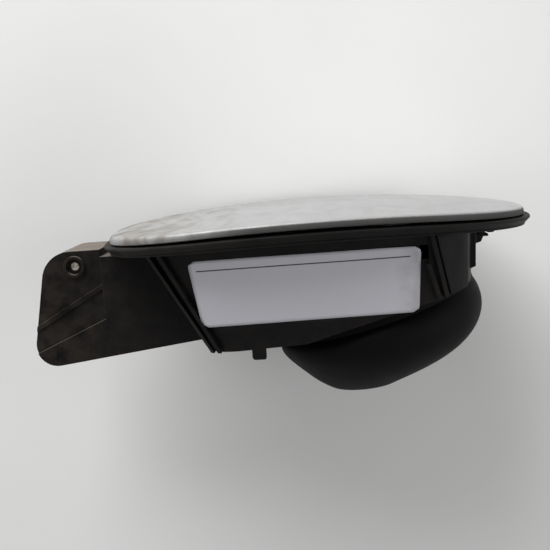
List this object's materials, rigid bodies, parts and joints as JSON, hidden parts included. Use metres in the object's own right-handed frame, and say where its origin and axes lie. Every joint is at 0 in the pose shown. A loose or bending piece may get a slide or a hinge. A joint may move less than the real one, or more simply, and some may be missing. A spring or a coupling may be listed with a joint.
{
  "type": "fuel filler door",
  "caption": "Painted domed fuel filler door on a gooseneck hinge over a moulded filler pocket with a rubber rim seal and a round rubber neck boot.",
  "frame": {"origin": "middle of the rim that sits in the car body opening, level with the seal's edge at its two ends", "axes": "+Z out of the car body, +X from the hinge end to the lock end, +Y across the door"},
  "size_m": [0.2219, 0.151, 0.0836],
  "materials": {
    "silver_paint": "worn silver car paint on sheet steel",
    "inner_paint": "thin silver paint on sheet steel",
    "black_moulding": "black moulded plastic, dusty",
    "arm_plastic": "black glass-filled plastic",
    "clip_plastic": "black moulded plastic",
    "bush_plastic": "off-white plain plastic",
    "seal_rubber": "black moulded rubber",
    "boot_rubber": "black moulded rubber",
    "plain_steel": "zinc plated steel, tarnished",
    "spring_steel": "blued spring steel"
  },
  "bodies": {
    "pocket": {"filler_pocket": "black_moulding", "rim_seal": "seal_rubber", "neck_boot": "boot_rubber", "hinge_pin": "plain_steel", "leaf_spring": "spring_steel", "lock_bush": "bush_plastic", "stop_buffer_near": "seal_rubber", "stop_buffer_far": "seal_rubber"},
    "door": {"door_skin": "silver_paint", "inner_panel": "inner_paint", "hinge_arm": "arm_plastic", "arm_screws": "plain_steel", "weld_nuts": "plain_steel", "lock_catch": "arm_plastic", "catch_rivets": "plain_steel", "cap_holder": "clip_plastic"}
  },
  "joints": [
    {"name": "door_hinge", "type": "hinge", "parent": "pocket", "child": "door", "pos_m": [-0.1075, 0, -0.0083], "axis": [0, -1, 0], "range_deg": [0, 90], "deforming": ["leaf_spring"]}
  ]
}
